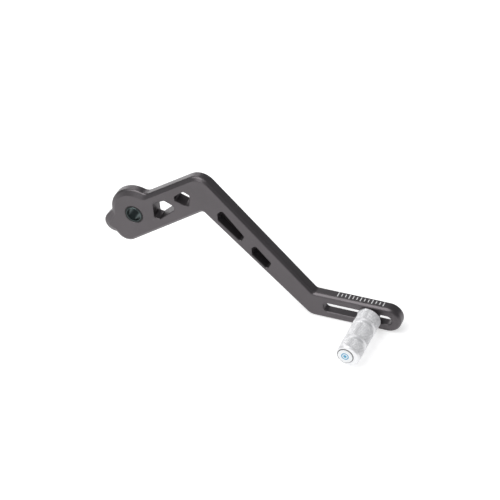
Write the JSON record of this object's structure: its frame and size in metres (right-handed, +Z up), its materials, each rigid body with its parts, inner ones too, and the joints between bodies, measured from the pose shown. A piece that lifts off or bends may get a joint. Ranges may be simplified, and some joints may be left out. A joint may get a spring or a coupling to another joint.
{
  "type": "gear shift lever",
  "caption": "Cranked, milled motorcycle gear shift lever with a pivot hub, lightening windows, a slotted end and a gripped off-centre toe peg that slides and turns to adjust.",
  "frame": {"origin": "on the pivot axis, in the plane of the arm's outer face", "axes": "+X along the slotted limb towards the toe peg, +Y along the pivot axis into the motorcycle, +Z up; the toe peg points along -Y"},
  "size_m": [0.1925, 0.0482, 0.0852],
  "materials": {
    "anodised_arm": "matt black anodised, milled",
    "seal_rubber": "matt",
    "bush_plastic": "self-lubricating polymer",
    "sleeve_steel": "turned stainless steel",
    "peg_aluminium": "clear anodised, knurled",
    "bolt_steel": "stainless steel",
    "nut_steel": "black oxide",
    "cap_plastic": "moulded",
    "badge_plastic": null
  },
  "bodies": {
    "arm": {"lever_arm": "anodised_arm", "pivot_bush": "bush_plastic", "seal_front": "seal_rubber", "seal_rear": "seal_rubber"},
    "sleeve": {"pivot_sleeve": "sleeve_steel"},
    "carriage": {"slot_nut": "nut_steel", "peg_bolt": "bolt_steel", "peg_shim": "sleeve_steel", "spring_washer": "bolt_steel"},
    "peg": {"toe_peg": "peg_aluminium"},
    "cap": {"end_cap": "cap_plastic", "cap_ring": "seal_rubber", "cap_badge": "badge_plastic"}
  },
  "joints": [
    {"name": "sleeve_turn", "type": "hinge", "parent": "arm", "child": "sleeve", "pos_m": [0, 0, 0], "axis": [0, 1, 0], "continuous": true},
    {"name": "peg_position", "type": "slide", "parent": "arm", "child": "carriage", "axis": [1, 0, 0], "range_m": [-0.0239, 0.01]},
    {"name": "peg_turn", "type": "hinge", "parent": "carriage", "child": "peg", "pos_m": [0.1506, 0, -0.0397], "axis": [0, 1, 0], "continuous": true},
    {"name": "cap_pull", "type": "slide", "parent": "peg", "child": "cap", "axis": [0, -1, 0], "range_m": [0, 0.0055]}
  ]
}
